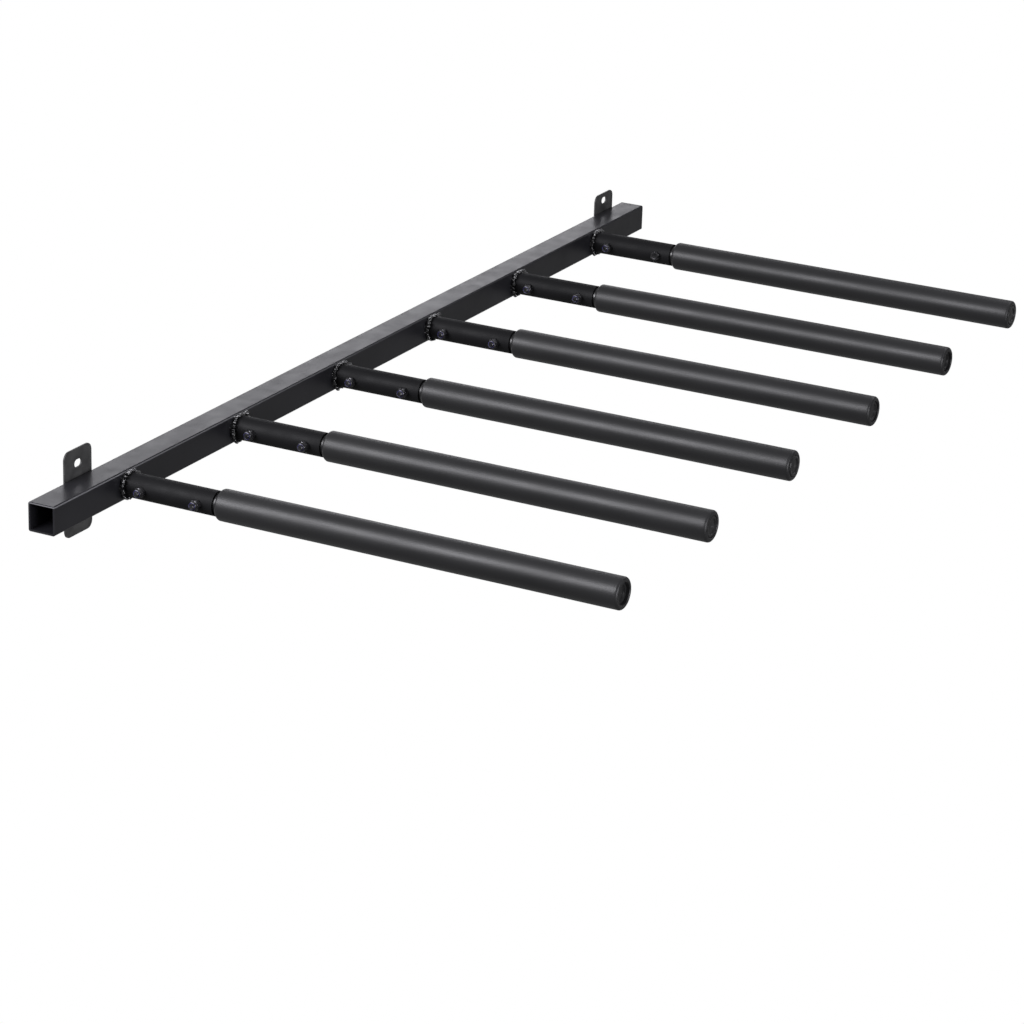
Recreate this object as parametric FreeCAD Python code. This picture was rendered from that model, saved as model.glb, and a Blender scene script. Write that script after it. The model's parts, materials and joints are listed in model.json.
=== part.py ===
import FreeCAD, Part
import math
import os

# Wall rack for boards: a square rail on two wall plates, and six foam-covered arms, each
# slid into a socket that is welded to the rail and held there by two cross bolts.
#
# Millimetres. +X runs along the rail, the arms point along -Y and +Z is up. The wall is the
# plane Y = 0. The origin is on the wall, level with the middle of the rail and midway between
# the two wall plates.

# Rail: square steel tube, open at both ends.
RAIL_SIZE = 30.0
RAIL_WALL = 2.0
RAIL_CORNER = 2.0
RAIL_LENGTH = 1250.0

# Wall plates: flat steel behind the rail, with one screw slot above it and one below it.
# The left plate is the taller one.
PLATE_WIDTH = 46.0
PLATE_HEIGHTS = {"left": 88.0, "right": 75.0}
PLATE_THICKNESS = 1.5
PLATE_CORNER = 8.0
PLATE_SPACING = 1120.0
LEFT_OVERHANG = 83.0
SLOT_LENGTH = 12.0
SLOT_WIDTH = 8.0
SLOT_SPACING = 57.0
PLATE_WELD_LEG = 1.4
PLATE_WELD_LENGTH = 22.0

# Arms.
ARM_COUNT = 6
ARM_PITCH = 200.0
END_MARGIN = 125.0
SOCKET_RADIUS = 12.7
SOCKET_BORE_RADIUS = 11.2
SOCKET_LENGTH = 103.0
SOCKET_WELD_LEG = 4.0
SOCKET_WELD_DEPTH = 5.0
TUBE_RADIUS = 11.0
TUBE_BORE_RADIUS = 9.5
TUBE_START = 1.0
SLEEVE_RADIUS = 16.0
SLEEVE_BORE_RADIUS = 11.2
SLEEVE_EDGE = 3.0
SLEEVE_START = 107.0
# Where each arm tube and each foam sleeve ends, from the first arm to the last. They were cut
# and pushed on by hand, so they differ a little.
TUBE_ENDS = (533.5, 530.0, 526.5, 526.5, 527.0, 527.0)
SLEEVE_ENDS = (539.0, 533.0, 528.5, 530.5, 532.0, 529.5)

# Plug in the open end of each arm tube.
PLUG_STEM_RADIUS = 9.3
PLUG_STEM_LENGTH = 14.0
PLUG_RIM_RADIUS = 10.8
PLUG_RIM_THICKNESS = 2.5
PLUG_RIM_EDGE = 1.0
PLUG_DISH_RADIUS = 7.8
PLUG_DISH_DEPTH = 1.0

# Cross bolts: M6 hexagon bolts with nylon-insert lock nuts.
BOLT_STATIONS = (22.5, 86.0)
CROSS_HOLE_RADIUS = 3.3
BOLT_RADIUS = 3.0
BOLT_LENGTH = 35.0
BOLT_TIP = 0.6
HEX_FLATS = 10.0
HEX_CHAMFER = 0.7
HEAD_HEIGHT = 4.0
NUT_HEIGHT = 8.0
NUT_HEX_HEIGHT = 5.5
NUT_BORE_RADIUS = 3.05
COLLAR_RADIUS = 4.6
INSERT_POCKET = 4.1
INSERT_RADIUS = 4.05
INSERT_HEIGHT = 2.2
# The nuts are on the left of each arm, but the outer bolt of the last arm is the other way round.
REVERSED_BOLTS = {(ARM_COUNT, 1)}

# Derived places.
RAIL_LEFT = -PLATE_SPACING / 2 - LEFT_OVERHANG
RAIL_BACK = -PLATE_THICKNESS
RAIL_FRONT = RAIL_BACK - RAIL_SIZE
HEX_RADIUS = HEX_FLATS / math.sqrt(3)
LEFTWARD = FreeCAD.Vector(-1, 0, 0)
OUTWARD = FreeCAD.Vector(0, -1, 0)
UPWARD = FreeCAD.Vector(0, 0, 1)


def save(name, shape):
    """Write one sub-part under its node name."""
    shape.exportStep(f"parts/{name}.step")


def rounded_box(size, corner, radius, along):
    """Box from its lowest corner, with the four edges that run along one axis rounded."""
    box = Part.makeBox(size[0], size[1], size[2], FreeCAD.Vector(*corner))
    edges = [edge for edge in box.Edges if abs(edge.tangentAt(edge.FirstParameter).dot(along)) > 0.99]
    return box.makeFillet(radius, edges)


def ring(radius, bore, length, start, axis):
    """Round tube that begins at start and runs along axis."""
    outer = Part.makeCylinder(radius, length, start, axis)
    return outer.cut(Part.makeCylinder(bore, length, start, axis))


def on_arm(x, distance):
    """Point on an arm's axis, at a distance out from the front of the rail."""
    return FreeCAD.Vector(x, RAIL_FRONT - distance, 0)


def rim_edges(shape, radius):
    """Circular edges of one radius."""
    circles = [edge for edge in shape.Edges if isinstance(edge.Curve, Part.Circle)]
    return [edge for edge in circles if abs(edge.Curve.Radius - radius) < 1e-6]


def cut_cross_holes(shape, x):
    """Drill both bolt holes through a socket or an arm tube."""
    reach = 2 * SOCKET_RADIUS
    for station in BOLT_STATIONS:
        start = on_arm(x + reach, station)
        shape = shape.cut(Part.makeCylinder(CROSS_HOLE_RADIUS, 2 * reach, start, LEFTWARD))
    return shape


def rail():
    """Square tube with rounded corners, open right through."""
    outer = rounded_box(
        (RAIL_LENGTH, RAIL_SIZE, RAIL_SIZE),
        (RAIL_LEFT, RAIL_FRONT, -RAIL_SIZE / 2),
        RAIL_CORNER,
        LEFTWARD,
    )
    hollow = RAIL_SIZE - 2 * RAIL_WALL
    inner = rounded_box(
        (RAIL_LENGTH, hollow, hollow),
        (RAIL_LEFT, RAIL_FRONT + RAIL_WALL, -hollow / 2),
        RAIL_CORNER / 2,
        LEFTWARD,
    )
    return outer.cut(inner)


def screw_slot(x, z):
    """Tool that cuts a level slot with round ends through a wall plate."""
    straight = SLOT_LENGTH - SLOT_WIDTH
    corner = FreeCAD.Vector(x - straight / 2, RAIL_BACK, z - SLOT_WIDTH / 2)
    tool = Part.makeBox(straight, PLATE_THICKNESS, SLOT_WIDTH, corner)
    for end in (-straight / 2, straight / 2):
        centre = FreeCAD.Vector(x + end, 0, z)
        tool = tool.fuse(Part.makeCylinder(SLOT_WIDTH / 2, PLATE_THICKNESS, centre, OUTWARD))
    return tool


def wall_plate(x, height):
    """Flat plate flush with the wall, with a screw slot above and below the rail."""
    plate = rounded_box(
        (PLATE_WIDTH, PLATE_THICKNESS, height),
        (x - PLATE_WIDTH / 2, RAIL_BACK, -height / 2),
        PLATE_CORNER,
        OUTWARD,
    )
    for z in (-SLOT_SPACING / 2, SLOT_SPACING / 2):
        plate = plate.cut(screw_slot(x, z))
    return plate


def plate_welds(x):
    """Two upright beads that join the sides of a wall plate to the back of the rail."""
    beads = []
    for side in (-1, 1):
        root = x + side * PLATE_WIDTH / 2
        low_x = min(root, root + side * PLATE_WELD_LEG)
        corner = FreeCAD.Vector(low_x, RAIL_BACK, -PLATE_WELD_LENGTH / 2)
        bead = Part.makeBox(PLATE_WELD_LEG, PLATE_WELD_LEG, PLATE_WELD_LENGTH, corner)
        crest_x = root + side * PLATE_WELD_LEG
        crest_y = RAIL_BACK + PLATE_WELD_LEG
        crest = [
            edge
            for edge in bead.Edges
            if all(abs(v.X - crest_x) < 1e-6 and abs(v.Y - crest_y) < 1e-6 for v in edge.Vertexes)
        ]
        beads.append(bead.makeFillet(0.8 * PLATE_WELD_LEG, crest))
    return Part.makeCompound(beads)


def socket(x):
    """Round stub on the front of the rail that takes the arm tube."""
    return cut_cross_holes(ring(SOCKET_RADIUS, SOCKET_BORE_RADIUS, SOCKET_LENGTH, on_arm(x, 0), OUTWARD), x)


def socket_weld(x):
    """Bulging fillet bead round the foot of a socket, cut off at the rail's rounded edges."""
    foot = FreeCAD.Vector(SOCKET_RADIUS, 0, 0)
    toe = FreeCAD.Vector(SOCKET_RADIUS + SOCKET_WELD_LEG, 0, 0)
    top = FreeCAD.Vector(SOCKET_RADIUS, -SOCKET_WELD_DEPTH, 0)
    bulge = FreeCAD.Vector(SOCKET_RADIUS + 0.65 * SOCKET_WELD_LEG, -0.65 * SOCKET_WELD_DEPTH, 0)
    outline = Part.Wire([
        Part.LineSegment(foot, toe).toShape(),
        Part.Arc(toe, bulge, top).toShape(),
        Part.LineSegment(top, foot).toShape(),
    ])
    bead = Part.Face(outline).revolve(FreeCAD.Vector(0, 0, 0), OUTWARD, 360)
    reach = SOCKET_RADIUS + SOCKET_WELD_LEG
    band_height = RAIL_SIZE - RAIL_CORNER
    corner = FreeCAD.Vector(-reach, -SOCKET_WELD_DEPTH, -band_height / 2)
    band = Part.makeBox(2 * reach, SOCKET_WELD_DEPTH, band_height, corner)
    return bead.common(band).translated(on_arm(x, 0))


def arm_tube(x, end):
    """Straight tube that reaches from inside the socket to the arm's tip."""
    tube = ring(TUBE_RADIUS, TUBE_BORE_RADIUS, end - TUBE_START, on_arm(x, TUBE_START), OUTWARD)
    return cut_cross_holes(tube, x)


def foam_sleeve(x, end):
    """Thick foam sleeve over the free length of the arm, with rounded ends."""
    length = end - SLEEVE_START
    sleeve = ring(SLEEVE_RADIUS, SLEEVE_BORE_RADIUS, length, on_arm(x, SLEEVE_START), OUTWARD)
    return sleeve.makeFillet(SLEEVE_EDGE, rim_edges(sleeve, SLEEVE_RADIUS))


def end_plug(x, tube_end):
    """Plug with a dished, rounded rim that covers the end of the arm tube."""
    stem_start = on_arm(x, tube_end - PLUG_STEM_LENGTH)
    stem = Part.makeCylinder(PLUG_STEM_RADIUS, PLUG_STEM_LENGTH, stem_start, OUTWARD)
    rim = Part.makeCylinder(PLUG_RIM_RADIUS, PLUG_RIM_THICKNESS, on_arm(x, tube_end), OUTWARD)
    outer_edge = [
        edge for edge in rim_edges(rim, PLUG_RIM_RADIUS)
        if edge.Curve.Center.y < RAIL_FRONT - tube_end - PLUG_RIM_THICKNESS / 2
    ]
    rim = rim.makeFillet(PLUG_RIM_EDGE, outer_edge)
    dish_start = on_arm(x, tube_end + PLUG_RIM_THICKNESS - PLUG_DISH_DEPTH)
    dish = Part.makeCylinder(PLUG_DISH_RADIUS, PLUG_DISH_DEPTH, dish_start, OUTWARD)
    return stem.fuse(rim).cut(dish)


def hexagon(height, chamfer_ends):
    """Hexagonal prism along +X from the origin, with its corners chamfered at the chosen ends."""
    corners = [
        FreeCAD.Vector(0, HEX_RADIUS * math.sin(k * math.pi / 3), HEX_RADIUS * math.cos(k * math.pi / 3))
        for k in range(7)
    ]
    prism = Part.Face(Part.makePolygon(corners)).extrude(FreeCAD.Vector(height, 0, 0))
    turned = Part.makeCylinder(HEX_RADIUS, height, FreeCAD.Vector(0, 0, 0), FreeCAD.Vector(1, 0, 0))
    edges = [edge for edge in rim_edges(turned, HEX_RADIUS) if edge.Curve.Center.x in chamfer_ends]
    return prism.common(turned.makeChamfer(HEX_CHAMFER, edges))


def bolt():
    """Hexagon bolt along X: head to the right of the socket, shank running left through it."""
    right = FreeCAD.Vector(SOCKET_RADIUS, 0, 0)
    shank = Part.makeCylinder(BOLT_RADIUS, BOLT_LENGTH, right, LEFTWARD)
    tip = [edge for edge in rim_edges(shank, BOLT_RADIUS) if edge.Curve.Center.x < 0]
    head = hexagon(HEAD_HEIGHT, (HEAD_HEIGHT,)).translated(right)
    return head.fuse(shank.makeChamfer(BOLT_TIP, tip))


def lock_nut():
    """Lock nut to the left of the socket: hexagon, round collar and a pocket for the insert."""
    left = FreeCAD.Vector(-SOCKET_RADIUS, 0, 0)
    body = hexagon(NUT_HEX_HEIGHT, (0, NUT_HEX_HEIGHT)).translated(left + LEFTWARD * NUT_HEX_HEIGHT)
    collar = Part.makeCylinder(COLLAR_RADIUS, NUT_HEIGHT, left, LEFTWARD)
    bore = Part.makeCylinder(NUT_BORE_RADIUS, NUT_HEIGHT, left, LEFTWARD)
    pocket_start = left + LEFTWARD * (NUT_HEIGHT - INSERT_HEIGHT)
    pocket = Part.makeCylinder(INSERT_POCKET, INSERT_HEIGHT, pocket_start, LEFTWARD)
    return body.fuse(collar).cut(bore).cut(pocket)


def nut_insert():
    """Nylon ring in the pocket of a lock nut."""
    start = LEFTWARD * (SOCKET_RADIUS + NUT_HEIGHT - INSERT_HEIGHT)
    return ring(INSERT_RADIUS, NUT_BORE_RADIUS, INSERT_HEIGHT, start, LEFTWARD)


def on_both_bolts(shape, arm, x):
    """Copy a fastener piece, drawn about the origin, to both bolt stations of an arm."""
    copies = []
    for index, station in enumerate(BOLT_STATIONS):
        copy = shape.copy()
        if (arm, index) in REVERSED_BOLTS:
            copy.rotate(FreeCAD.Vector(0, 0, 0), UPWARD, 180)
        copies.append(copy.translated(on_arm(x, station)))
    return Part.makeCompound(copies)


def arm_pieces(arm, x):
    """Every piece of one arm, by the last part of its node name."""
    return {
        "socket": socket(x),
        "socket_weld": socket_weld(x),
        "tube": arm_tube(x, TUBE_ENDS[arm - 1]),
        "foam_sleeve": foam_sleeve(x, SLEEVE_ENDS[arm - 1]),
        "end_plug": end_plug(x, TUBE_ENDS[arm - 1]),
        "cross_bolts": on_both_bolts(bolt(), arm, x),
        "lock_nuts": on_both_bolts(lock_nut(), arm, x),
        "nut_inserts": on_both_bolts(nut_insert(), arm, x),
    }


os.makedirs("parts", exist_ok=True)
save("rail", rail())
for side, place in (("left", -PLATE_SPACING / 2), ("right", PLATE_SPACING / 2)):
    save(f"{side}_wall_plate", wall_plate(place, PLATE_HEIGHTS[side]))
    save(f"{side}_plate_welds", plate_welds(place))
for arm in range(1, ARM_COUNT + 1):
    arm_x = RAIL_LEFT + END_MARGIN + (arm - 1) * ARM_PITCH
    for name, shape in arm_pieces(arm, arm_x).items():
        save(f"arm_{arm}_{name}", shape)
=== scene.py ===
import json
import math

import bmesh
import bpy
from mathutils import Matrix, Vector, noise


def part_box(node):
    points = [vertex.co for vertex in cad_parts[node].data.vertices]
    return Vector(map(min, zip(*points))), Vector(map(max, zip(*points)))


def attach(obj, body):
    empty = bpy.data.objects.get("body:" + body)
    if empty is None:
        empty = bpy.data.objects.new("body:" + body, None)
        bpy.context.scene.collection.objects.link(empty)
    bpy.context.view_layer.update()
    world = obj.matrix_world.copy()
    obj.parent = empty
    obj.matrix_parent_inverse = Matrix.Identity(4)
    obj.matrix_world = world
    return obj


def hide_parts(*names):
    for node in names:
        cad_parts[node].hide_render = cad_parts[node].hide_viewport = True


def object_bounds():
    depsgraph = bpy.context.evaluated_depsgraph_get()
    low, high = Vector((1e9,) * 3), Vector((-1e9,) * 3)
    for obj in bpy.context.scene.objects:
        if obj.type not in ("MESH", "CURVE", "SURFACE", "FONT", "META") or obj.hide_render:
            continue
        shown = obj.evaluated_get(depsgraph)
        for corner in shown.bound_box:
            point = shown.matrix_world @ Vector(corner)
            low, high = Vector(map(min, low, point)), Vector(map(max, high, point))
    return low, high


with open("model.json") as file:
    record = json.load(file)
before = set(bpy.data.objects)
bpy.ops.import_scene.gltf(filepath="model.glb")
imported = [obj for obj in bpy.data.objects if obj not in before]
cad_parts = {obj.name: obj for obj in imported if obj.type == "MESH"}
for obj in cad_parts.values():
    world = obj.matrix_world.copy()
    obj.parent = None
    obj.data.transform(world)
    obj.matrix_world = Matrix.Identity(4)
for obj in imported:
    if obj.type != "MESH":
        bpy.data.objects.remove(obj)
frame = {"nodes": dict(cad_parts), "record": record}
CAD_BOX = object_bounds()

# Wall rack for boards. Metres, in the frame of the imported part: +X along the rail, arms along
# -Y, +Z up and the wall at Y = 0.
ARM_COUNT = 6
OUTWARD = Vector((0, -1, 0))
MIDDLE = (CAD_BOX[0] + CAD_BOX[1]) / 2

# Camera: a long lens above and to the left of the rack, turned a little about its own axis.
CAMERA_PLACE = Vector((-3.332, -1.925, 1.2425))
CAMERA_AZIMUTH = math.radians(-62.38)
CAMERA_ELEVATION = math.radians(20.49)
CAMERA_ROLL = math.radians(1.74)
CAMERA_LENS = 130.0
CAMERA_SENSOR = 36.0
CAMERA_REACH = 200.0

# Surroundings. The camera sees them plain white. For lighting and mirror images the floor grows
# brighter along FLOOR_FADE_ALONG, and the sky grows brighter with height.
SHOWN_WHITE = 1.0
LIGHT_COLOUR = (0.96, 0.955, 1.0)
FLOOR_DROP = 3.0
FLOOR_SIZE = 80.0
FLOOR_FADE_ALONG = (0.45, 0.9, 0.0)
FLOOR_FADE = (1.3, 6.1)
FLOOR_STRENGTH = (0.17, 0.65)
SKY_FADE = (0.1, 0.6)
SKY_STRENGTH = (0.12, 0.42)

# Soft lights: direction from the point they face, distance, width and height, power, that point.
LEFT_HALF = Vector((-0.4, 0, 0))
LIGHTS = {
    "key_light": ((-0.75, 0.43, 0.50), 3.5, (2.4, 1.3), 140, MIDDLE),
    "edge_light": ((0.80, -0.38, 0.46), 1.8, (0.8, 0.4), 2, LEFT_HALF),
    "back_light": ((0.73, 0.63, 0.26), 4.5, (2.7, 1.2), 22, MIDDLE),
    "front_light": ((-0.38, -0.90, 0.10), 3.5, (2.0, 1.4), 80, MIDDLE),
}

# Finishes by material slot: the two ends of the clouded colour and of the roughness, the scale and
# depth of the surface grain, and what else differs from a plain surface.
FINISHES = {
    "rail_paint": dict(
        colours=((0.0085, 0.0085, 0.0106), (0.0125, 0.0125, 0.0151)), gloss=(0.34, 0.44),
        grain=700, depth=0.00006, coat=0.04,
    ),
    "socket_paint": dict(
        colours=((0.0050, 0.0050, 0.0056), (0.0075, 0.0075, 0.0082)), gloss=(0.54, 0.66),
        grain=900, depth=0.00006, specular=0.14,
    ),
    "plate_paint": dict(
        colours=((0.020, 0.020, 0.020), (0.062, 0.062, 0.061)), gloss=(0.5, 0.62),
        grain=1100, depth=0.00016, cloud=60.0,
    ),
    "weld_paint": dict(
        colours=((0.0035, 0.0035, 0.0040), (0.0110, 0.0110, 0.0118)), gloss=(0.07, 0.17),
        grain=360, depth=0.0015, cloud=300.0, specular=1.0, coat=0.8,
    ),
    "tube_paint": dict(
        colours=((0.0055, 0.0055, 0.0060), (0.0085, 0.0085, 0.0090)), gloss=(0.3, 0.4),
        grain=900, depth=0.00005,
    ),
    "foam": dict(
        colours=((0.0082, 0.0082, 0.0088), (0.0118, 0.0118, 0.0125)), gloss=(0.42, 0.50),
        grain=1500, depth=0.00007, cloud=22.0, stretch=(1.0, 0.15, 1.0), specular=0.42, sheen=0.05,
    ),
    "plug": dict(
        colours=((0.008, 0.008, 0.0085), (0.013, 0.013, 0.0135)), gloss=(0.26, 0.38),
        grain=2200, depth=0.00004, cloud=120.0,
    ),
    "fastener": dict(
        colours=((0.018, 0.018, 0.020), (0.090, 0.089, 0.093)), gloss=(0.20, 0.40),
        grain=1300, depth=0.00005, cloud=180.0, metallic=0.8,
    ),
    "nylon": dict(
        colours=((0.040, 0.035, 0.150), (0.075, 0.065, 0.240)), gloss=(0.38, 0.52),
        grain=1500, depth=0.00004, cloud=260.0,
    ),
}
COAT_ROUGHNESS = 0.12
SHEEN_ROUGHNESS = 0.45
RAMP_ENDS = (0.32, 0.68)
UNSTRETCHED = (1.0, 1.0, 1.0)
CLOUD_SCALE = 12.0
CLOUD_DETAIL = 5.0
PATCH_RATIO = 4
PATCH_DETAIL = 6.0
COARSE_DETAIL = 3.0
COARSE_STRENGTH = 0.35
FINE_RATIO = 3.3
FINE_DETAIL = 2.0
FINE_STRENGTH = 0.25

# Top edges of the rail, by height above its middle: a painted highlight, a pale line strongest towards
# the left end, and the dull rounding above it.
EDGE_BLEND = 0.00012
HIGHLIGHT_HEIGHTS = (0.0131, 0.0143)
HIGHLIGHT_SPAN = (-0.7, 0.15)
HIGHLIGHT_COLOUR = (0.17, 0.17, 0.18, 1)
DULL_HEIGHTS = (0.0143, 0.01499)
DULL_ROUGHNESS = 1.0

# Surfaces have smooth shading up to these angles between faces.
SHARP_ANGLE = math.radians(32)
BEAD_SHARP_ANGLE = math.radians(75)

# Foam sleeves. The waves move the surface mostly inwards, so it stays in the CAD solid.
FOAM_SIDES = 72
FOAM_RINGS = 150
FOAM_EDGE = 0.003
FOAM_EDGE_STEPS = 10
FOAM_BORE_SHARE = 0.7
FOAM_BORE_CHAMFER = 0.0006
FOAM_WAVE = 0.00016
FOAM_WAVE_BIAS = 0.5
FOAM_WAVE_SCALE = (30, 9, 30)

# Weld beads round the sockets. REACH is along the rail's face and DEPTH along the socket. At each
# point the bead has a share of them: a base, ripples that lean and wander, lumps and a slow drift.
BEAD_SIDES = 264
BEAD_PROFILE = 12
BEAD_REACH = 0.0054
BEAD_DEPTH = 0.0062
BEAD_EDGE_LIMIT = 0.0148
BEAD_EDGE_FROM = 0.5
BEAD_INTO_SOCKET = 0.0004
BEAD_INTO_RAIL = 0.0002
BEAD_ROUNDING = 0.85
BEAD_BASE = 0.40
BEAD_RIPPLES = 14
RIPPLE_MEAN = 0.66
RIPPLE_SPREAD = 0.34
RIPPLE_LEAN = 0.12
RIPPLE_WANDER = 0.8
RIPPLE_FADE = 0.08
RIPPLE_NOISE = (2.3, 5.9, 0.4)
LUMP_SIZE = 0.34
LUMP_NOISE = (9, 2.2, 7.7)
DRIFT_SIZE = 0.12
DRIFT_NOISE = (1.7, 3.1)

# Beads at the sides of the wall plates: rippled quarter rounds, tapered over the first and the
# last 1 / TAPER of their length. Sizes are shares of the leg of the CAD bead.
SIDE_BEAD_STEPS = 90
SIDE_BEAD_ARC = 8
SIDE_BEAD_TAPER = 6
SIDE_BEAD_BASE = 0.25
SIDE_BEAD_SWELL = 0.6
SIDE_BEAD_MEAN = 0.85
SIDE_BEAD_RIPPLE = 0.22
SIDE_BEAD_RIPPLES = 9
SIDE_BEAD_LUMP = 0.2
SIDE_BEAD_NOISE = (10, 9, 2.0)
SIDE_BEAD_ROOT = 0.0001

# Turned pieces: sides of a ring, and radius of the smallest ring, which closes an end.
TURNED_SIDES = 96
CENTRE = 0.0001

# Fasteners: M6 hexagon bolts and nylon-insert lock nuts.
HEX_FLATS = 0.010
HEX_CORNER = HEX_FLATS / math.sqrt(3)
THREAD_RADIUS = 0.003
THREAD_PITCH = 0.001
THREAD_DEPTH = 0.00045
THREAD_RINGS = 8
BOLT_LENGTH = 0.035
BOLT_PLAIN = 0.018
BOLT_RUN_OUT = 0.0005
BOLT_POINT = 0.0007
BOLT_HEAD = 0.004
NUT_HEX = 0.0055
NUT_HEIGHT = 0.008
NUT_BORE = 0.0031
NUT_POCKET_BASE = NUT_HEIGHT - 0.0022
INSERT_TOP = 0.0079
# Their outlines, as distance from the seat and radius. For a hexagon the second number is the share
# of the corner radius that the chamfer leaves.
BOLT_TIP = ((BOLT_LENGTH - 0.0001, CENTRE), (BOLT_LENGTH, 0.0021), (BOLT_LENGTH - BOLT_POINT, 0.0026))
HEAD_SEAT = ((0.0, 0.0047), (-0.0003, 0.0047))
HEAD_HEXAGON = (
    (-0.0003, 0.965), (-0.0008, 1.0), (-BOLT_HEAD + 0.0009, 1.0), (-BOLT_HEAD + 0.0004, 0.955),
    (-BOLT_HEAD, 0.85),
)
HEAD_DISH = ((-BOLT_HEAD, 0.0036), (-BOLT_HEAD + 0.00025, 0.0032), (-BOLT_HEAD + 0.0003, CENTRE))
NUT_SEAT = ((0.0, NUT_BORE), (0.0, 0.0046))
NUT_HEXAGON = ((0.0002, 0.93), (0.0009, 1.0), (NUT_HEX - 0.0012, 1.0), (NUT_HEX - 0.0004, 0.93))
NUT_COLLAR = (
    (NUT_HEX, 0.00475), (NUT_HEIGHT - 0.0014, 0.0047), (NUT_HEIGHT - 0.0006, 0.0045),
    (NUT_HEIGHT - 0.0001, 0.0040), (NUT_HEIGHT, 0.0037), (NUT_HEIGHT - 0.0002, 0.0036),
)
NUT_POCKET = ((NUT_HEIGHT - 0.0006, 0.0041), (NUT_POCKET_BASE, 0.0041), (NUT_POCKET_BASE, NUT_BORE))
INSERT_RING = (
    (NUT_POCKET_BASE, 0.00305), (NUT_POCKET_BASE, 0.00405), (INSERT_TOP - 0.0006, 0.00405),
    (INSERT_TOP - 0.0002, 0.00375), (INSERT_TOP, 0.0035), (INSERT_TOP - 0.0001, 0.0032),
    (INSERT_TOP - 0.0004, 0.00305),
)
# A shank's end stands further out of a socket than this, and a bolt's head doesn't.
SHANK_STANDS_OUT = 0.005
# How far each nut is turned, in degrees: the inner and the outer one of every arm.
NUT_TURNS = ((10, 30), (25, 0), (20, 28), (15, 12), (32, 6), (20, 0))
FASTENER_SLOTS = {"cross_bolts": "fastener", "lock_nuts": "fastener", "nut_inserts": "nylon"}

# End plugs: stem with ribs, and a flange with a rounded edge.
PLUG_STEM = 0.0093
PLUG_LEAD = 0.0012
PLUG_FLANGE = 0.0025
PLUG_FLANGE_BEVEL = 0.0002
PLUG_EDGE = 0.0012
PLUG_EDGE_STEPS = 6
PLUG_RIBS = 4
RIB_START = 0.0025
RIB_PITCH = 0.0028
RIB_HEIGHT = 0.0003
RIB_FLANK = 0.0006
# The plug's face from its rim to its middle, as depth below the rim and radius: a step down into a
# dish, a low dome, and the mark of the gate.
PLUG_FACE = (
    (0.0, 0.0086), (0.0002, 0.0080), (0.0010, 0.0076), (0.0011, 0.0070), (0.0009, 0.0050),
    (0.00075, 0.0025), (0.0007, 0.0012), (0.0009, 0.0010), (0.0009, CENTRE),
)


# ---------------------------------------------------------------- materials

def new_material(name, roughness, metallic=0.0, coat=0.0, specular=0.5, sheen=0.0):
    """Material with its plain numbers set on the shader's own sockets."""
    material = bpy.data.materials.new(name)
    material.use_nodes = True
    nodes = material.node_tree.nodes
    surface = nodes["Principled BSDF"]
    surface.inputs["Roughness"].default_value = roughness
    surface.inputs["Metallic"].default_value = metallic
    surface.inputs["Coat Weight"].default_value = coat
    surface.inputs["Coat Roughness"].default_value = COAT_ROUGHNESS
    surface.inputs["Specular IOR Level"].default_value = specular
    surface.inputs["Sheen Weight"].default_value = sheen
    surface.inputs["Sheen Roughness"].default_value = SHEEN_ROUGHNESS
    return material, nodes, material.node_tree.links, surface


def noise_field(nodes, links, scale, detail, stretch=UNSTRETCHED):
    """Noise in object coordinates, so it needs no unwrap."""
    place = nodes.new("ShaderNodeTexCoord")
    mapping = nodes.new("ShaderNodeMapping")
    mapping.inputs["Scale"].default_value = stretch
    texture = nodes.new("ShaderNodeTexNoise")
    texture.inputs["Scale"].default_value = scale
    texture.inputs["Detail"].default_value = detail
    links.new(place.outputs["Object"], mapping.inputs["Vector"])
    links.new(mapping.outputs["Vector"], texture.inputs["Vector"])
    return texture.outputs["Fac"]


def shades(nodes, links, factor, low, high):
    """Ramp between two colours or grey levels over the middle of a noise field."""
    node = nodes.new("ShaderNodeValToRGB")
    for element, position, colour in zip(node.color_ramp.elements, RAMP_ENDS, (low, high)):
        element.position = position
        element.color = (*colour, 1) if isinstance(colour, tuple) else (colour, colour, colour, 1)
    links.new(factor, node.inputs["Fac"])
    return node.outputs["Color"]


def bump(nodes, links, height, strength, distance):
    """Bump node for a height."""
    node = nodes.new("ShaderNodeBump")
    node.inputs["Strength"].default_value = strength
    node.inputs["Distance"].default_value = distance
    links.new(height, node.inputs["Height"])
    return node


def map_range(nodes, links, value, source, result=(0.0, 1.0)):
    """Value carried from one range to another and held at its ends."""
    node = nodes.new("ShaderNodeMapRange")
    node.inputs["From Min"].default_value, node.inputs["From Max"].default_value = source
    node.inputs["To Min"].default_value, node.inputs["To Max"].default_value = result
    links.new(value, node.inputs["Value"])
    return node.outputs["Result"]


def multiply(nodes, links, first, second):
    """Product of two values."""
    node = nodes.new("ShaderNodeMath")
    node.operation = "MULTIPLY"
    links.new(first, node.inputs[0])
    links.new(second, node.inputs[1])
    return node.outputs["Value"]


def blend_to(nodes, links, data_type, factor, start, goal):
    """Blend from a socket's value, where the factor is 0, to a fixed one, where it is 1."""
    node = nodes.new("ShaderNodeMix")
    node.data_type = data_type
    node.inputs["B"].default_value = goal
    links.new(factor, node.inputs["Factor"])
    links.new(start, node.inputs["A"])
    return node.outputs["Result"]


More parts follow.
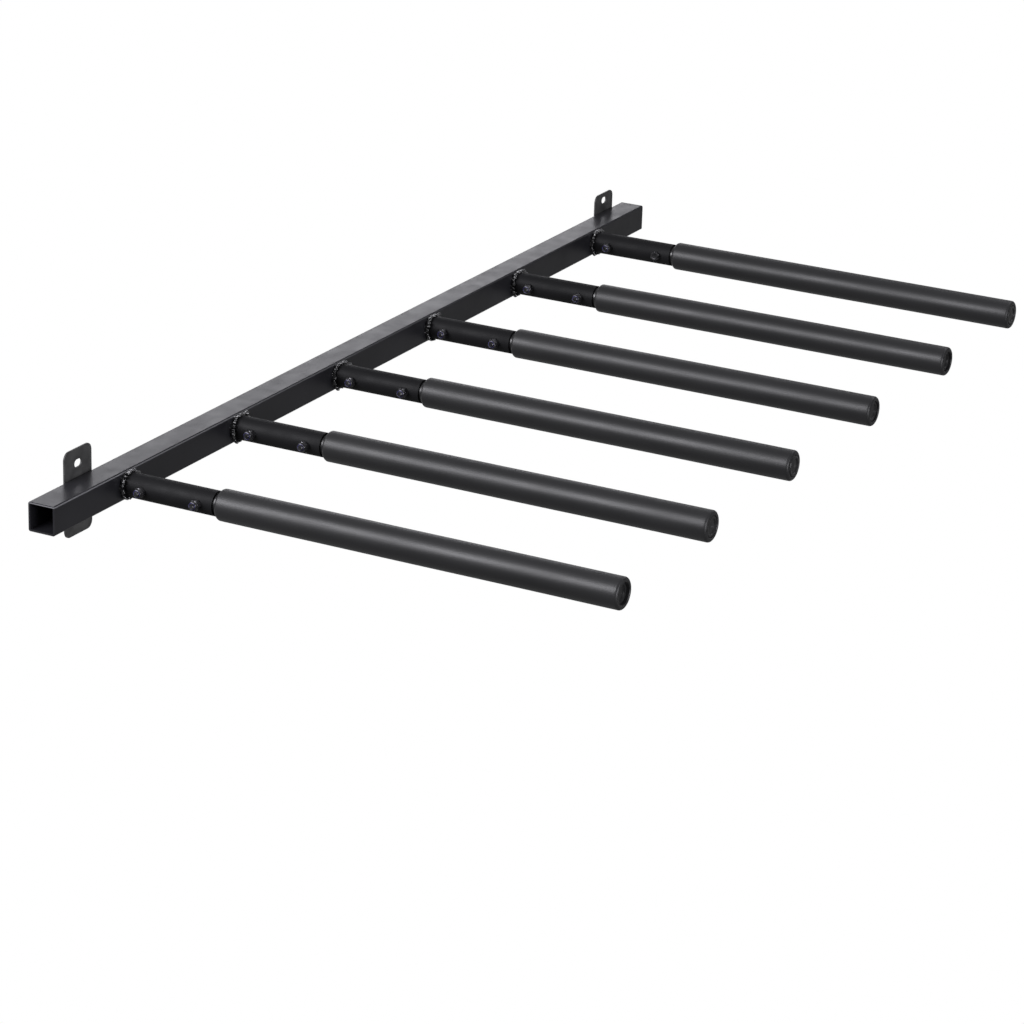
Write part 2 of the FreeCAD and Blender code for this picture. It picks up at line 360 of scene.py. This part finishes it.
def grained(name, colours, gloss, grain, depth, cloud=CLOUD_SCALE, stretch=UNSTRETCHED, **settings):
    """Material with clouded colour, uneven gloss and two sizes of surface grain."""
    material, nodes, links, surface = new_material(name, gloss[0], **settings)
    tint = noise_field(nodes, links, cloud, CLOUD_DETAIL, stretch)
    links.new(shades(nodes, links, tint, *colours), surface.inputs["Base Color"])
    patch = noise_field(nodes, links, cloud * PATCH_RATIO, PATCH_DETAIL, stretch)
    links.new(shades(nodes, links, patch, *gloss), surface.inputs["Roughness"])
    coarse_grain = noise_field(nodes, links, grain, COARSE_DETAIL)
    coarse = bump(nodes, links, coarse_grain, COARSE_STRENGTH, depth)
    fine_grain = noise_field(nodes, links, grain * FINE_RATIO, FINE_DETAIL)
    fine = bump(nodes, links, fine_grain, FINE_STRENGTH, depth / 2)
    links.new(coarse.outputs["Normal"], fine.inputs["Normal"])
    links.new(fine.outputs["Normal"], surface.inputs["Normal"])
    return material


def edge_band(nodes, links, height, limits):
    """Mask that is 1 between two heights and 0 elsewhere."""
    low, high = limits
    rise = map_range(nodes, links, height, (low, low + EDGE_BLEND))
    fall = map_range(nodes, links, height, (high, high - EDGE_BLEND))
    return multiply(nodes, links, rise, fall)


def paint_edge_highlight(material):
    """Painted highlight: rail paint made pale along its top edges towards the left end, and dull just
    above.
    """
    nodes, links = material.node_tree.nodes, material.node_tree.links
    surface = nodes["Principled BSDF"]
    paint = surface.inputs["Base Color"].links[0].from_socket
    gloss = surface.inputs["Roughness"].links[0].from_socket
    place = nodes.new("ShaderNodeTexCoord")
    split = nodes.new("ShaderNodeSeparateXYZ")
    links.new(place.outputs["Object"], split.inputs["Vector"])
    along, height = split.outputs["X"], split.outputs["Z"]
    # Painted highlight: a pale line painted into the base colour along the top edges, strongest at the
    # left end.
    fade = map_range(nodes, links, along, HIGHLIGHT_SPAN, (1.0, 0.0))
    highlight_mask = multiply(nodes, links, edge_band(nodes, links, height, HIGHLIGHT_HEIGHTS), fade)
    colour = blend_to(nodes, links, "RGBA", highlight_mask, paint, HIGHLIGHT_COLOUR)
    links.new(colour, surface.inputs["Base Color"])
    dull = edge_band(nodes, links, height, DULL_HEIGHTS)
    roughness = blend_to(nodes, links, "FLOAT", dull, gloss, DULL_ROUGHNESS)
    links.new(roughness, surface.inputs["Roughness"])


def make_materials():
    """One material for each finish, by the record's material slot."""
    materials = {name: grained(name, **finish) for name, finish in FINISHES.items()}
    paint_edge_highlight(materials["rail_paint"])
    return materials


def white_to_camera(nodes, links, lighting, white_type, output):
    """Plain white where the camera looks, and the given shader for lighting and mirror images."""
    white = nodes.new(white_type)
    white.inputs["Color"].default_value = (1, 1, 1, 1)
    white.inputs["Strength"].default_value = SHOWN_WHITE
    path = nodes.new("ShaderNodeLightPath")
    switch = nodes.new("ShaderNodeMixShader")
    links.new(path.outputs["Is Camera Ray"], switch.inputs["Fac"])
    links.new(lighting, switch.inputs[1])
    links.new(white.outputs[0], switch.inputs[2])
    links.new(switch.outputs["Shader"], output.inputs["Surface"])


def floor_material():
    """Floor that looks plain white. As a source of light it is dim, and brighter behind the rack."""
    material = bpy.data.materials.new("floor")
    material.use_nodes = True
    nodes, links = material.node_tree.nodes, material.node_tree.links
    place = nodes.new("ShaderNodeTexCoord")
    across = nodes.new("ShaderNodeVectorMath")
    across.operation = "DOT_PRODUCT"
    across.inputs[1].default_value = FLOOR_FADE_ALONG
    links.new(place.outputs["Object"], across.inputs[0])
    glow = nodes.new("ShaderNodeEmission")
    strength = map_range(nodes, links, across.outputs["Value"], FLOOR_FADE, FLOOR_STRENGTH)
    links.new(strength, glow.inputs["Strength"])
    output = nodes["Material Output"]
    white_to_camera(nodes, links, glow.outputs["Emission"], "ShaderNodeEmission", output)
    return material


# ---------------------------------------------------------------- mesh tools

def centre_of(node):
    """Middle of a CAD node's box."""
    low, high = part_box(node)
    return (low + high) / 2


def skin(shape, rings, looped=True):
    """Joins rings of points into a surface: the last to the first one, or with a cap at each end."""
    rows = [[shape.verts.new(point) for point in ring] for ring in rings]
    count = len(rows[0])
    following_rows = rows[1:] + rows[:1] if looped else rows[1:]
    for first, second in zip(rows, following_rows):
        for k in range(count):
            following = (k + 1) % count
            shape.faces.new((first[k], first[following], second[following], second[k]))
    if not looped:
        shape.faces.new(rows[0])
        shape.faces.new(rows[-1])


def turned_point(origin, direction, distance, radius, turn):
    """Point of a turned piece: distance along direction (+-X or -Y), radius and angle about it."""
    if direction.x:
        across = Vector((0, math.cos(turn), math.sin(turn)))
    else:
        across = Vector((math.cos(turn), 0, math.sin(turn)))
    return origin + direction * distance + across * radius


def turned_ring(origin, direction, sides, section):
    """One ring of a turned piece; its section gives distance and radius for an angle."""
    ring = []
    for k in range(sides):
        turn = 2 * math.pi * k / sides
        ring.append(turned_point(origin, direction, *section(turn), turn))
    return ring


def plain(distance, radius):
    """Round section."""
    return lambda turn: (distance, radius)


def outline(points):
    """Round sections through the points of an outline."""
    return [plain(*point) for point in points]


def hexagonal(distance, share, turned=0.0):
    """Hexagonal section, with its corners cut back to a share of their radius by the chamfer."""
    def point(turn):
        off = ((turn + math.pi / 6 - turned) % (math.pi / 3)) - math.pi / 6
        return distance, min(HEX_FLATS / 2 / math.cos(off), HEX_CORNER * share)
    return point


def threaded(distance):
    """Section of a thread: the radius falls and rises once per pitch, and its phase turns."""
    def point(turn):
        phase = (distance / THREAD_PITCH - turn / (2 * math.pi)) % 1
        return distance, THREAD_RADIUS - THREAD_DEPTH * abs(2 * phase - 1)
    return point


def turned_rings(origin, direction, sections):
    """Rings of a turned fastener or plug."""
    return [turned_ring(origin, direction, TURNED_SIDES, section) for section in sections]


def add_object(name, fill, sharp_angle=SHARP_ANGLE):
    """New object with smooth faces and sharp edges only where the surface really turns."""
    mesh = bpy.data.meshes.new(name)
    shape = bmesh.new()
    fill(shape)
    bmesh.ops.recalc_face_normals(shape, faces=shape.faces)
    shape.to_mesh(mesh)
    shape.free()
    mesh.polygons.foreach_set("use_smooth", [True] * len(mesh.polygons))
    mesh.set_sharp_from_angle(angle=sharp_angle)
    item = bpy.data.objects.new(name, mesh)
    bpy.context.scene.collection.objects.link(item)
    return item


def settle(piece, node, slot_name):
    """Material, CAD node and body of a rebuilt piece."""
    piece.data.materials.append(MATERIALS[slot_name])
    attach(piece, "root")
    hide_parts(node)
    return piece


# ---------------------------------------------------------------- pieces

def foam_sleeve(arm):
    """Foam sleeve with softly rounded ends and a very slight unevenness along its length."""
    node = f"arm_{arm}_foam_sleeve"
    low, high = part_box(node)
    length = high.y - low.y
    radius = (high.z - low.z) / 2
    bore = radius * FOAM_BORE_SHARE
    mouth = bore + FOAM_BORE_CHAMFER
    origin = Vector((centre_of(node).x, high.y, centre_of(node).z))
    wall_length = length - 2 * FOAM_EDGE
    corner = []
    for step in range(FOAM_EDGE_STEPS + 1):
        a = math.pi / 2 * step / FOAM_EDGE_STEPS
        corner.append((FOAM_EDGE * (1 - math.cos(a)), radius - FOAM_EDGE * (1 - math.sin(a))))
    wall = [(FOAM_EDGE + wall_length * k / FOAM_RINGS, radius) for k in range(1, FOAM_RINGS)]
    far_corner = [(length - distance, r) for distance, r in reversed(corner)]
    outside = corner + wall + far_corner
    inside = [
        (length, mouth), (length - FOAM_BORE_CHAMFER, bore), (FOAM_BORE_CHAMFER, bore), (0, mouth),
    ]

    def wavy(point, axis):
        place = Vector([value * scale for value, scale in zip(point, FOAM_WAVE_SCALE)])
        swell = noise.noise(place + Vector((arm, 0, 0)))
        return point + (point - axis).normalized() * FOAM_WAVE * (swell - FOAM_WAVE_BIAS)

    def fill(shape):
        rings = []
        for distance, r in outside:
            axis = origin + OUTWARD * distance
            ring = turned_ring(origin, OUTWARD, FOAM_SIDES, plain(distance, r))
            rings.append([wavy(point, axis) for point in ring])
        for distance, r in inside:
            rings.append(turned_ring(origin, OUTWARD, FOAM_SIDES, plain(distance, r)))
        skin(shape, rings)

    piece = settle(add_object(f"foam_sleeve_{arm}", fill), node, "foam")


def bead_drift(turn, arm):
    """Slow change round a bead, different on every arm."""
    scale, arm_step = DRIFT_NOISE
    return noise.noise(Vector((math.cos(turn) * scale, math.sin(turn) * scale, arm * arm_step)))


def bead_share(turn, rise, arm):
    """Share of a bead's full size, at an angle and from 0 on the rail to 1 on the socket."""
    drift = bead_drift(turn, arm)
    lean = turn + RIPPLE_LEAN * math.sin(math.pi * rise)
    count = lean * BEAD_RIPPLES / (2 * math.pi) + RIPPLE_WANDER * drift
    scale, arm_step, level = RIPPLE_NOISE
    blob = noise.noise(Vector(((count // 1) % BEAD_RIPPLES * scale, arm * arm_step, level)))
    ripple = (RIPPLE_MEAN + RIPPLE_SPREAD * blob) * math.sin(math.pi * (count % 1)) ** 0.5
    swell = math.sin(math.pi * min(max(rise, RIPPLE_FADE), 1 - RIPPLE_FADE))
    scale, rise_scale, arm_step = LUMP_NOISE
    lump_place = (math.cos(turn) * scale, math.sin(turn) * scale, rise * rise_scale + arm * arm_step)
    lump = noise.noise(Vector(lump_place))
    return BEAD_BASE + ripple * swell + LUMP_SIZE * lump + DRIFT_SIZE * drift


def weld_bead(arm):
    """Hand-laid bead round the foot of a socket: overlapping ripples of uneven size."""
    socket = f"arm_{arm}_socket"
    low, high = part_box(socket)
    radius = (high.z - low.z) / 2
    face = Vector((centre_of(socket).x, high.y, centre_of(socket).z))

    def section(turn):
        spoke = Vector((math.cos(turn), 0, math.sin(turn)))
        # Above and below the socket the rail's edge leaves less room for the bead.
        room = BEAD_EDGE_LIMIT / max(abs(math.sin(turn)), BEAD_EDGE_FROM) - radius
        reach = min(BEAD_REACH, room)
        ring = []
        for step in range(BEAD_PROFILE + 1):
            rise = step / BEAD_PROFILE
            share = bead_share(turn, rise, arm)
            a = math.pi / 2 * rise
            out = reach * share * math.cos(a) ** BEAD_ROUNDING
            up = BEAD_DEPTH * share * math.sin(a) ** BEAD_ROUNDING
            ring.append(face + spoke * (radius + out) + OUTWARD * up)
        root = face + spoke * (radius - BEAD_INTO_SOCKET)
        return ring + [root + OUTWARD * BEAD_DEPTH * 0.5, root - OUTWARD * BEAD_INTO_RAIL]

    def fill(shape):
        skin(shape, [section(2 * math.pi * k / BEAD_SIDES) for k in range(BEAD_SIDES)])

    bead = add_object(f"weld_bead_{arm}", fill, BEAD_SHARP_ANGLE)
    settle(bead, f"arm_{arm}_socket_weld", "weld_paint")


def bolt_rings(origin, direction):
    """Rings of a hexagon bolt: from the tip back up its shank, round its head and to its middle."""
    steps = round((BOLT_LENGTH - BOLT_PLAIN - BOLT_POINT) / THREAD_PITCH * THREAD_RINGS)
    thread = [threaded(BOLT_PLAIN + k * THREAD_PITCH / THREAD_RINGS) for k in reversed(range(steps))]
    shank = [plain(BOLT_PLAIN - BOLT_RUN_OUT, THREAD_RADIUS), plain(0.0, THREAD_RADIUS)]
    hexagon = [hexagonal(*point) for point in HEAD_HEXAGON]
    # The rings close into a loop: the last one, at the head's middle, joins the first at the tip.
    sections = outline(BOLT_TIP) + thread + shank + outline(HEAD_SEAT) + hexagon + outline(HEAD_DISH)
    return turned_rings(origin, direction, sections)


def nut_rings(origin, direction, turned):
    """Rings of a nylon-insert lock nut: chamfered hexagon, rolled collar, pocket and bore."""
    hexagon = [hexagonal(*point, turned) for point in NUT_HEXAGON]
    sections = outline(NUT_SEAT) + hexagon + outline(NUT_COLLAR) + outline(NUT_POCKET)
    return turned_rings(origin, direction, sections)


def insert_rings(origin, direction):
    """Rings of the nylon ring: a bulged lip inside the nut's collar."""
    return turned_rings(origin, direction, outline(INSERT_RING))


def fastener_places(arm):
    """Seat of the head, seat of the nut and direction of each bolt, read from the CAD nodes."""
    low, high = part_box(f"arm_{arm}_socket")
    middle = (low + high) / 2
    radius = (high.z - low.z) / 2
    bolt_low, bolt_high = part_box(f"arm_{arm}_cross_bolts")
    inner_y, outer_y = bolt_high.y - HEX_FLATS / 2, bolt_low.y + HEX_FLATS / 2
    # Heads are on the right, unless the end of a shank stands out there.
    outer_side = -1 if bolt_high.x - middle.x > radius + SHANK_STANDS_OUT else 1
    for y, side in ((inner_y, 1), (outer_y, outer_side)):
        head_seat = Vector((middle.x + side * radius, y, middle.z))
        nut_seat = Vector((middle.x - side * radius, y, middle.z))
        yield head_seat, nut_seat, Vector((-side, 0, 0))


def fasteners(arm):
    """Bolts, lock nuts and nylon rings of one arm, each kind as one piece."""
    rings = {kind: [] for kind in FASTENER_SLOTS}
    for (head_seat, nut_seat, direction), turned in zip(fastener_places(arm), NUT_TURNS[arm - 1]):
        rings["cross_bolts"].append(bolt_rings(head_seat, direction))
        rings["lock_nuts"].append(nut_rings(nut_seat, direction, math.radians(turned)))
        rings["nut_inserts"].append(insert_rings(nut_seat, direction))
    for kind, slot_name in FASTENER_SLOTS.items():
        def fill(shape):
            for single in rings[kind]:
                skin(shape, single)
        settle(add_object(f"{kind}_{arm}", fill), f"arm_{arm}_{kind}", slot_name)


def end_plug(arm):
    """Moulded plug: ribbed stem, rounded rim, dished face with a low dome and a gate mark."""
    node = f"arm_{arm}_end_plug"
    low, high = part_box(node)
    origin = Vector((centre_of(node).x, high.y, centre_of(node).z))
    length = high.y - low.y
    rim = (high.z - low.z) / 2
    valley = PLUG_STEM - RIB_HEIGHT
    profile = [(0.0, CENTRE), (0.0, PLUG_STEM - PLUG_LEAD), (PLUG_LEAD, valley)]
    for rib in range(PLUG_RIBS):
        start = RIB_START + rib * RIB_PITCH
        radii = (valley, PLUG_STEM, PLUG_STEM, valley)
        profile += [(start + k * RIB_FLANK, radius) for k, radius in enumerate(radii)]
    profile += [(length - PLUG_FLANGE, valley), (length - PLUG_FLANGE, rim - PLUG_FLANGE_BEVEL)]
    for step in range(PLUG_EDGE_STEPS + 1):
        a = math.pi / 2 * step / PLUG_EDGE_STEPS
        profile.append((
            length - PLUG_EDGE * (1 - math.sin(a)), rim - PLUG_EDGE * (1 - math.cos(a)),
        ))
    profile += [(length - depth, radius) for depth, radius in PLUG_FACE]

    def fill(shape):
        skin(shape, turned_rings(origin, OUTWARD, outline(profile)))

    settle(add_object(f"end_plug_{arm}", fill), node, "plug")


def plate_welds(side):
    """Two short upright beads at the sides of a wall plate, rippled like the others."""
    node = f"{side}_plate_welds"
    low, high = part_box(node)
    plate_low, plate_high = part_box(f"{side}_wall_plate")
    length = high.z - low.z
    leg = high.y - low.y

    def leg_at(along, root_x):
        taper = min(1.0, SIDE_BEAD_TAPER * along, SIDE_BEAD_TAPER * (1 - along)) ** 0.5
        scale_x, scale_z, level = SIDE_BEAD_NOISE
        lump = noise.noise(Vector((root_x * scale_x, along * scale_z, level)))
        ripple = SIDE_BEAD_RIPPLE * abs(math.sin(math.pi * along * SIDE_BEAD_RIPPLES))
        swell = SIDE_BEAD_MEAN + ripple + SIDE_BEAD_LUMP * lump
        return leg * (SIDE_BEAD_BASE + SIDE_BEAD_SWELL * taper * swell)

    def bead(root_x, outward_x):
        rows = []
        for k in range(SIDE_BEAD_STEPS + 1):
            along = k / SIDE_BEAD_STEPS
            size = leg_at(along, root_x)
            z = low.z + length * along
            row = [Vector((root_x, low.y - SIDE_BEAD_ROOT, z))]
            for step in range(SIDE_BEAD_ARC + 1):
                a = math.pi / 2 * step / SIDE_BEAD_ARC
                x = root_x + outward_x * size * math.cos(a)
                row.append(Vector((x, low.y + size * math.sin(a), z)))
            rows.append(row)
        return rows

    def fill(shape):
        skin(shape, bead(plate_low.x, -1), looped=False)
        skin(shape, bead(plate_high.x, 1), looped=False)

    settle(add_object(f"plate_welds_{side}", fill, BEAD_SHARP_ANGLE), node, "weld_paint")


def finish_cad_nodes():
    """Materials for the CAD nodes that stay: rail, wall plates, sockets and arm tubes."""
    slots = {item["node"]: item["material_slot"] for item in frame["record"]["subparts"]}
    for name, item in frame["nodes"].items():
        if item.hide_render:
            continue
        item.data.materials.clear()
        item.data.materials.append(MATERIALS[slots[name]])


# ---------------------------------------------------------------- surroundings

def softbox(name, direction, distance, size, power, target):
    """Soft rectangular light, at a distance from the point that it faces."""
    light = bpy.data.lights.new(name, "AREA")
    light.shape = "RECTANGLE"
    light.size, light.size_y = size
    light.energy = power
    light.color = LIGHT_COLOUR
    lamp = bpy.data.objects.new(name, light)
    lamp.location = target + Vector(direction).normalized() * distance
    lamp.rotation_mode = "QUATERNION"
    lamp.rotation_quaternion = (target - lamp.location).to_track_quat("-Z", "Y")
    bpy.context.scene.collection.objects.link(lamp)


def add_sky():
    """Sky that looks plain white, and lights the rack less near the horizon than overhead."""
    world = bpy.data.worlds.new("sky")
    world.use_nodes = True
    bpy.context.scene.world = world
    nodes, links = world.node_tree.nodes, world.node_tree.links
    place = nodes.new("ShaderNodeTexCoord")
    split = nodes.new("ShaderNodeSeparateXYZ")
    links.new(place.outputs["Generated"], split.inputs["Vector"])
    glow = nodes["Background"]
    glow.inputs["Color"].default_value = (*LIGHT_COLOUR, 1)
    strength = map_range(nodes, links, split.outputs["Z"], SKY_FADE, SKY_STRENGTH)
    links.new(strength, glow.inputs["Strength"])
    output = nodes["World Output"]
    white_to_camera(nodes, links, glow.outputs["Background"], "ShaderNodeBackground", output)


def add_floor():
    """Large plain floor below the rack."""
    half = FLOOR_SIZE / 2
    height = CAD_BOX[0].z - FLOOR_DROP
    mesh = bpy.data.meshes.new("floor")
    corners = [(x, y, height) for x, y in ((-half, -half), (half, -half), (half, half), (-half, half))]
    mesh.from_pydata(corners, [], [(0, 1, 2, 3)])
    mesh.materials.append(floor_material())
    floor = bpy.data.objects.new("floor", mesh)
    bpy.context.scene.collection.objects.link(floor)


def add_camera():
    """Camera at the picture's viewing angle."""
    data = bpy.data.cameras.new("camera")
    data.sensor_width = CAMERA_SENSOR
    data.lens = CAMERA_LENS
    data.clip_end = CAMERA_REACH
    camera = bpy.data.objects.new("camera", data)
    camera.location = CAMERA_PLACE
    turn = Matrix.Rotation(CAMERA_AZIMUTH, 4, "Z")
    tilt = Matrix.Rotation(math.pi / 2 - CAMERA_ELEVATION, 4, "X")
    roll = Matrix.Rotation(CAMERA_ROLL, 4, "Z")
    camera.rotation_euler = (turn @ tilt @ roll).to_euler()
    bpy.context.scene.collection.objects.link(camera)
    bpy.context.scene.camera = camera


MATERIALS = make_materials()
for arm in range(1, ARM_COUNT + 1):
    foam_sleeve(arm)
    weld_bead(arm)
    fasteners(arm)
    end_plug(arm)
for side in ("left", "right"):
    plate_welds(side)
finish_cad_nodes()

bpy.context.scene.view_settings.view_transform = "Standard"
add_sky()
add_floor()
add_camera()
for name, settings in LIGHTS.items():
    softbox(name, *settings)
